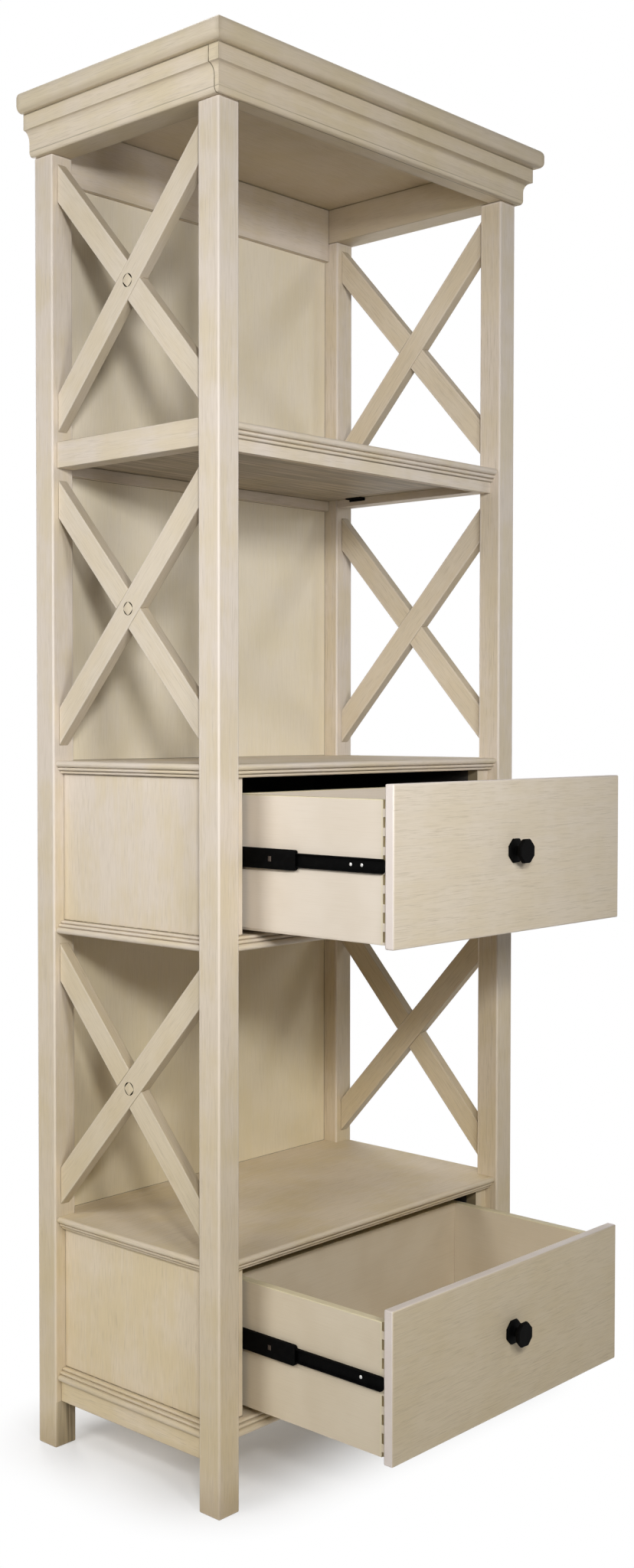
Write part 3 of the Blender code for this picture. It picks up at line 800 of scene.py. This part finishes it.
def window(bm, y, half):
    """Cut a square window through the web at this Y, halfway up."""
    low, high = box_of(bm)
    z = (low[Z] + high[Z]) / 2
    for side in (-half, half):
        cut(bm, (0, y + side, 0), (0, 1, 0))
        cut(bm, (0, 0, z + side), (0, 0, 1))
    pane = [face for face in bm.faces if abs(face.normal.x) > 0.9
            and max(abs(face.calc_center_median().y - y), abs(face.calc_center_median().z - z)) < half]
    bmesh.ops.delete(bm, geom=pane, context="FACES_ONLY")
    bmesh.ops.bridge_loops(bm, edges=[edge for edge in bm.edges if edge.is_boundary])


for level in LEVELS:
    node = f"{level}_drawer_knob"
    bm = cad_copy(node)
    ease(bm, 0.5 * MM)
    piece("knob_" + level, bm, [KNOB_BLACK], body_of[node], (node,))
    for member in ("cabinet", "runner", "drawer"):
        for side, _ in SIDES:
            node = f"{level}_slide_{member}_{side}"
            bm = cad_copy(node)
            if member == "runner":
                window(bm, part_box(node)[0].y + WINDOW_BEHIND, WINDOW_HALF)
            if member != "cabinet":
                rounded_front(bm, SLIDE_CORNER)
                bmesh.ops.recalc_face_normals(bm, faces=bm.faces)
            ease(bm, 0.2 * MM)
            piece("steel_" + node, bm, [SLIDE_BLACK], body_of[node], (node,))
print("knobs and slides in black")

# %% [markdown]
# ## Ball cages, screws and shelf brackets
# Behind the window of each middle member lies the cage that holds the balls: a thin steel strip with a row of
# pockets, which is a grid whose cells are inset and pushed in. Its steel is much darker than the zinc of the
# screws: painted shade inside the slide. Zinc screws hold the drawer's slide members, and two black angle
# brackets hold the shelf to its side rails. A screw's head is a low dome with a six-lobed socket: a disc that is
# inset and lifted in steps, whose last ring is drawn in at every other pair of points and pushed down. A bracket
# is a strip with a second leg pulled out of it.


# %% Ball cages
def bare_metal(name, dark, light, brush_cells=2200):
    """Bare brushed metal."""
    material, shader, place = new_material(name)
    brushed = place.noise((brush_cells,) * 3, 2.0)
    shader.inputs["Metallic"].default_value = 1.0
    feed(shader, place, Base_Color=brushed.rise(0.3, 0.7).mix(dark, light),
         Roughness=brushed.rise(0.3, 0.7, 0.24, 0.40), Normal=brushed.bump(0.02 * MM))
    return material


# Painted shade: the cage steel is much darker than the screws' zinc.
SHADED_CAGE_STEEL = bare_metal("cage_steel_painted_shade", (0.130, 0.115, 0.110, 1), (0.200, 0.175, 0.165, 1))
CAGE_LONG, CAGE_TALL, CAGE_THICK, POCKETS = 66 * MM, 10 * MM, 0.5 * MM, 6
POCKET_RIM, POCKET_DEEP, WEB_THICK, CAGE_GAP = 1.6 * MM, 0.25 * MM, 1.0 * MM, 0.2 * MM
for level in LEVELS:
    for side, sign in SIDES:
        node = f"{level}_slide_runner_{side}"
        low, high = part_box(node)
        bm = bmesh.new()
        bmesh.ops.create_grid(bm, x_segments=POCKETS, y_segments=1, size=0.5)
        bmesh.ops.scale(bm, vec=(CAGE_LONG, CAGE_TALL, 1), verts=bm.verts)
        bmesh.ops.inset_individual(bm, faces=bm.faces[:], thickness=POCKET_RIM, depth=-POCKET_DEEP)
        bmesh.ops.solidify(bm, geom=bm.faces[:], thickness=CAGE_THICK)
        outer = (high.x if sign > 0 else -low.x) - WEB_THICK - CAGE_GAP
        bmesh.ops.transform(bm, verts=bm.verts, matrix=STAND_UP)
        bmesh.ops.translate(bm, verts=bm.verts, vec=(outer - max(vert.co.x for vert in bm.verts), 0, 0))
        bmesh.ops.rotate(bm, verts=bm.verts, matrix=facing(sign).to_3x3())
        bmesh.ops.translate(bm, verts=bm.verts, vec=(0, low.y + WINDOW_BEHIND, (low.z + high.z) / 2))
        bmesh.ops.recalc_face_normals(bm, faces=bm.faces)
        piece(f"ball_cage_{level}_{side}", bm, [SHADED_CAGE_STEEL], body_of[node])
print("ball cages", round(CAGE_LONG / MM), "mm long")

# %% Screws
RIM_SHARE, DOME_STEPS = 0.35, ((0.22, 0.16), (0.22, 0.10))
SOCKET_RIM, LOBE_SHARE, SOCKET_WALL, SOCKET_DEEP = 0.14, 0.72, 0.04, 0.30


def screw_head(radius):
    """A domed head with a socket that looks along +X from zero. The shares are parts of its radius."""
    bm = disc(radius, segments=36, thick=RIM_SHARE * radius)
    top = max(bm.faces, key=lambda face: face.calc_center_median().x)
    for share, lift in DOME_STEPS:
        bmesh.ops.inset_region(bm, faces=[top], thickness=share * radius, use_even_offset=True)
        bmesh.ops.translate(bm, verts=top.verts, vec=(lift * radius, 0, 0))
    bmesh.ops.inset_region(bm, faces=[top], thickness=SOCKET_RIM * radius, use_even_offset=True)
    heart = top.calc_center_median()
    lobes = [vert for number, vert in enumerate(top.verts) if number % 6 >= 3]
    bmesh.ops.scale(bm, vec=(1, LOBE_SHARE, LOBE_SHARE), space=Matrix.Translation(-heart), verts=lobes)
    bmesh.ops.inset_region(bm, faces=[top], thickness=SOCKET_WALL * radius, use_even_offset=True)
    bmesh.ops.translate(bm, verts=top.verts, vec=(-SOCKET_DEEP * radius, 0, 0))
    return bm


ZINC = bare_metal("zinc", (0.50, 0.50, 0.49, 1), (0.68, 0.67, 0.64, 1))
SCREW_RADIUS, SCREW_SEAT, SCREW_TURN = 2.3 * MM, 1.02 * MM, 0.4
SCREWS_BEHIND = {"upper": (36.5 * MM, 54.5 * MM), "lower": (36.5 * MM,)}
for level in LEVELS:
    for side, sign in SIDES:
        node = f"{level}_slide_drawer_{side}"
        low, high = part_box(node)
        web = (low.x if sign > 0 else high.x) + sign * SCREW_SEAT
        for number, behind in enumerate(SCREWS_BEHIND[level]):
            head = screw_head(SCREW_RADIUS)
            spot = Matrix.Translation((web, low.y + behind, (low.z + high.z) / 2))
            turn = facing(sign) @ Matrix.Rotation(SCREW_TURN * number, 4, "X")
            bmesh.ops.transform(head, verts=head.verts, matrix=spot @ turn)
            piece(f"screw_{level}_{side}_{number}", head, [ZINC], body_of[node])
print("screw heads", round(2 * SCREW_RADIUS / MM, 1), "mm across")

# %% Shelf brackets
BRACKET_LONG, BRACKET_DOWN, BRACKET_OUT, BRACKET_THICK = 32 * MM, 5 * MM, 12 * MM, 2 * MM
BRACKET_FROM_BACK, BRACKET_CLEAR = 28 * MM, 0.1 * MM
for side, sign in SIDES:
    rail = f"shelf_rail_{side}"
    face_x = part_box(rail)[0 if sign > 0 else 1].x - sign * BRACKET_CLEAR
    top_z = shelf_edge[0][Z] - BRACKET_CLEAR
    leg_foot = top_z - BRACKET_THICK
    bm = bmesh.new()
    centre = (face_x - sign * BRACKET_THICK / 2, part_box(rail)[1].y - BRACKET_FROM_BACK - BRACKET_LONG / 2,
              top_z - BRACKET_DOWN / 2)
    strip = Matrix.Translation(centre) @ Matrix.Diagonal((BRACKET_THICK, BRACKET_LONG, BRACKET_DOWN, 1))
    bmesh.ops.create_cube(bm, size=1.0, matrix=strip)
    cut(bm, (0, 0, leg_foot), (0, 0, 1))
    root = [face for face in bm.faces
            if face.normal.x * sign < -0.9 and face.calc_center_median().z > leg_foot]
    pull(bm, root, (-sign * (BRACKET_OUT - BRACKET_THICK), 0, 0))
    bmesh.ops.delete(bm, geom=root, context="FACES_ONLY")
    ease(bm, 0.4 * MM)
    piece(f"shelf_bracket_{side}", bm, [SLIDE_BLACK], body_of[rail])
print("brackets under the shelf at", round(top_z, 4), "m")

# %% [markdown]
# ## Floor and light
# A studio floor stays white round the object and keeps only the soft shadow near its feet. The floor is a pale
# diffuse disc; with distance from the cabinet it fades into plain white for the camera, while the light that
# it throws back on the cabinet stays that of a pale floor.

# %% Floor
FLOOR_RADIUS, PAPER = 6.0, (0.84, 0.83, 0.82, 1)
floor_mesh = bmesh.new()
bmesh.ops.create_circle(floor_mesh, cap_ends=True, radius=FLOOR_RADIUS, segments=96,
                        matrix=Matrix.Translation((0, middle.y, 0)))
floor_shape = bpy.data.meshes.new("floor")
floor_mesh.to_mesh(floor_shape)
floor_mesh.free()
floor = bpy.data.objects.new("floor", floor_shape)
bpy.context.scene.collection.objects.link(floor)
floor_paper, paper, place = new_material("floor_paper")
paper.inputs["Base Color"].default_value = PAPER
paper.inputs["Roughness"].default_value = 0.9
paper.inputs["Specular IOR Level"].default_value = 0.0
seen = [place.node("ShaderNodeLightPath", output=name) for name in ("Is Camera Ray", "Is Glossy Ray",
                                                                    "Is Transmission Ray")]
shown = seen[0].most(seen[1]).most(seen[2])
SHADOW_MIDDLE, SHADOW_HALF = (0.045, 0.148, 0.0), (0.27, 0.088, 10.0)
FADE_START, FADE_END, FLOOR_GLOW = 0.12, 0.222, 0.02
beyond = place.vector("SUBTRACT", SHADOW_MIDDLE)
beyond = beyond.node("ShaderNodeVectorMath", {"operation": "ABSOLUTE"}, {0: beyond})
beyond = beyond.vector("SUBTRACT", SHADOW_HALF).vector("MAXIMUM", (0, 0, 0))
reach = beyond.node("ShaderNodeVectorMath", {"operation": "LENGTH"}, {0: beyond}, 1)
white = place.node("ShaderNodeEmission", None, {"Color": (1, 1, 1, 1), "Strength": 1.0})
fade = reach.rise(0.0, FADE_END, FADE_START, 1.0) * shown.rise(0.0, 1.0, FLOOR_GLOW, 1.0)
blended = place.node("ShaderNodeMixShader", None, {0: fade})
tree = place.tree
tree.links.new(paper.outputs[0], blended.socket.node.inputs[1])
tree.links.new(white.socket, blended.socket.node.inputs[2])
tree.links.new(blended.socket, tree.nodes["Material Output"].inputs["Surface"])
floor_shape.materials.append(floor_paper)
print("floor radius", FLOOR_RADIUS, "m")

# %% [markdown]
# ## Lamps and world
# The key lamp is small and stands beside the camera, so the left crosses throw their shadows on the back panel. A
# grid narrows its beam, and the light falls off towards the feet. A large soft lamp lights the left side, a
# weaker lamp on the right throws the faint shadows of the right crosses, and a fourth lifts the drawers. A lamp
# behind the cabinet shows its back and its right side to a camera there, and a narrow one above shows the top of
# the cap. The world is nearly dark.


# %% Lamps
def soft_lamp(name, stands, size, watts, aim=0.95, beam=180):
    """A square lamp that stands here, measured from the cabinet's middle, and looks at it at the aim's height."""
    lamp = bpy.data.lights.new(name, "AREA")
    lamp.shape = "SQUARE"
    lamp.size = size
    lamp.energy = watts
    lamp.spread = math.radians(beam)
    stand = bpy.data.objects.new(name, lamp)
    stand.location = middle + Vector(stands)
    stand.rotation_euler = (Vector((0, 0, aim)) - Vector(stands)).to_track_quat("-Z", "Y").to_euler()
    bpy.context.scene.collection.objects.link(stand)


soft_lamp("lamp_key", stands=(-1.96, -2.14, 1.80), size=0.33, watts=12.5, aim=1.45, beam=100)
soft_lamp("lamp_left", stands=(-2.6, 0.3, 1.90), size=1.0, watts=12.8, aim=0.55, beam=110)
soft_lamp("lamp_right", stands=(2.4, -1.6, 1.95), size=0.45, watts=7.5)
soft_lamp("lamp_drawers", stands=(-0.80, -1.7, 1.35), size=0.4, watts=4.8, aim=0.7, beam=110)
soft_lamp("lamp_back", stands=(1.5, 2.8, 1.2), size=1.0, watts=55.0)
soft_lamp("lamp_top", stands=(0.2, 0.7, 3.4), size=0.5, watts=1.8, aim=cap_box[1][Z], beam=50)

world = bpy.data.worlds.new("studio")
bpy.context.scene.world = world
world.use_nodes = True
sky = world.node_tree
sky_shade = Shade(sky, sky.nodes.new("ShaderNodeLightPath").outputs["Is Camera Ray"])
glossy = sky_shade.node("ShaderNodeLightPath", output="Is Glossy Ray")
clear = sky_shade.node("ShaderNodeLightPath", output="Is Transmission Ray")
FILL = 0.01
strength = sky_shade.most(glossy).most(clear) * (1.0 - FILL) + FILL
background = sky.nodes["Background"]
background.inputs["Color"].default_value = (1, 1, 1, 1)
sky.links.new(strength.socket, background.inputs["Strength"])
bpy.context.scene.view_settings.view_transform = "Standard"
print(len(bpy.data.lights), "lamps, fill", FILL)
